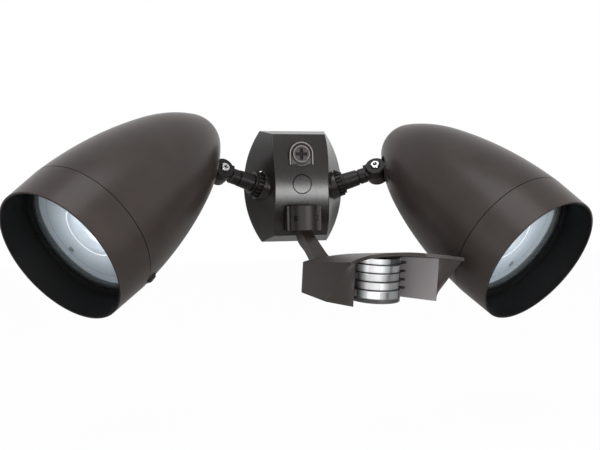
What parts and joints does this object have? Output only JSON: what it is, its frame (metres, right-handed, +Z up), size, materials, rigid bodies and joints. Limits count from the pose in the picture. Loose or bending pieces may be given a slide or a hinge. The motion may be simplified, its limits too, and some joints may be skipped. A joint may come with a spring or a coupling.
{
  "type": "motion sensor security light",
  "caption": "Twin-lamp outdoor security light with a motion sensor: adjustable bullet-shaped spotlights and a sensor head on a wall cover plate.",
  "frame": {"origin": "centre of the cover plate's height and width, on the wall plane", "axes": "+Z up, +Y into the wall, so the front faces -Y; +X to the right of someone facing the wall"},
  "size_m": [0.6321, 0.2724, 0.2405],
  "materials": {
    "bronze_paint_cover": "gloss",
    "bronze_paint_lamp": "gloss",
    "bronze_paint_hood": "gloss",
    "black_paint_arm": "satin",
    "bronze_plastic_sensor": "gloss",
    "black_plastic": "satin",
    "zinc_steel": "satin",
    "green_zinc_steel": "satin",
    "chromed_screw": "polished",
    "foam_gasket": "matte",
    "silicone_seal": "matte",
    "clear_glass": "polished",
    "pale_plate_paint": "satin",
    "bright_reflector": "polished",
    "circuit_board": "satin",
    "white_board": "satin",
    "light_source": "matte",
    "bare_aluminium": "satin",
    "driver_case": "matte",
    "sensor_lens_plastic": "satin",
    "metal_can": "satin"
  },
  "bodies": {
    "wall_plate": {"wall_gasket": "foam_gasket", "crossbar": "zinc_steel", "ground_screw": "green_zinc_steel", "cover_plate": "bronze_paint_cover", "centre_screw": "zinc_steel", "centre_cap": "bronze_paint_cover", "closure_plug": "bronze_paint_cover", "sensor_socket": "bronze_paint_cover", "clamp_screws": "chromed_screw", "socket_screws": "zinc_steel", "left_lock_nut": "black_paint_arm", "right_lock_nut": "black_paint_arm"},
    "left_swivel_arm": {"left_arm": "black_paint_arm", "left_pivot_screw": "chromed_screw"},
    "left_lamp": {"left_lamp_housing": "bronze_paint_lamp", "left_hood": "bronze_paint_hood", "left_hood_screw": "chromed_screw", "left_glass": "clear_glass", "left_glass_seal": "silicone_seal", "left_bright_plate": "pale_plate_paint", "left_reflector_cup": "bright_reflector", "left_led_board": "white_board", "left_led_emitter": "light_source", "left_heat_sink": "bare_aluminium", "left_led_driver": "driver_case", "left_plate_screws": "zinc_steel", "left_pivot_nut": "zinc_steel"},
    "right_swivel_arm": {"right_arm": "black_paint_arm", "right_pivot_screw": "chromed_screw"},
    "right_lamp": {"right_lamp_housing": "bronze_paint_lamp", "right_hood": "bronze_paint_hood", "right_hood_screw": "chromed_screw", "right_glass": "clear_glass", "right_glass_seal": "silicone_seal", "right_bright_plate": "pale_plate_paint", "right_reflector_cup": "bright_reflector", "right_led_board": "white_board", "right_led_emitter": "light_source", "right_heat_sink": "bare_aluminium", "right_led_driver": "driver_case", "right_plate_screws": "zinc_steel", "right_pivot_nut": "zinc_steel"},
    "sensor_strap": {"sensor_arm": "black_plastic"},
    "sensor_head": {"sensor_cover": "bronze_plastic_sensor", "sensor_base": "bronze_plastic_sensor", "case_screws": "zinc_steel", "sensor_lens": "sensor_lens_plastic", "lens_guard": "black_plastic", "sensor_board": "circuit_board", "detector_board": "circuit_board", "motion_detector": "metal_can", "tilt_screw": "zinc_steel", "tilt_nut": "zinc_steel"},
    "time_knob": {"time_dial": "black_plastic"},
    "range_knob": {"range_dial": "black_plastic"}
  },
  "joints": [
    {"name": "left_arm_turn", "type": "hinge", "parent": "wall_plate", "child": "left_swivel_arm", "pos_m": [-0.04738, -0.026, 0], "axis": [-0.9215, -0.2556, 0.2924], "range_deg": [-20, 90]},
    {"name": "left_lamp_tilt", "type": "hinge", "parent": "left_swivel_arm", "child": "left_lamp", "pos_m": [-0.09658, -0.03965, 0.01561], "axis": [0.3552, -0.859, 0.3686], "range_deg": [-33, 50]},
    {"name": "right_arm_turn", "type": "hinge", "parent": "wall_plate", "child": "right_swivel_arm", "pos_m": [0.04738, -0.026, 0], "axis": [0.9215, -0.2556, 0.2924], "range_deg": [-90, 38]},
    {"name": "right_lamp_tilt", "type": "hinge", "parent": "right_swivel_arm", "child": "right_lamp", "pos_m": [0.09658, -0.03965, 0.01561], "axis": [-0.3856, -0.6905, 0.6119], "range_deg": [-4, 48]},
    {"name": "sensor_swivel", "type": "hinge", "parent": "wall_plate", "child": "sensor_strap", "pos_m": [0, -0.0545, 0], "axis": [0, 0, 1], "range_deg": [-50, 4]},
    {"name": "sensor_tilt", "type": "hinge", "parent": "sensor_strap", "child": "sensor_head", "pos_m": [0.02487, -0.1473, -0.10394], "axis": [0.9659, 0.2588, 0], "range_deg": [-20, 25]},
    {"name": "time_dial_turn", "type": "hinge", "parent": "sensor_head", "child": "time_knob", "pos_m": [-0.00054, -0.19156, -0.12316], "axis": [0.036, -0.1344, 0.9903], "range_deg": [-135, 135]},
    {"name": "range_dial_turn", "type": "hinge", "parent": "sensor_head", "child": "range_knob", "pos_m": [0.069, -0.17293, -0.12316], "axis": [0.036, -0.1344, 0.9903], "range_deg": [-135, 135]}
  ]
}
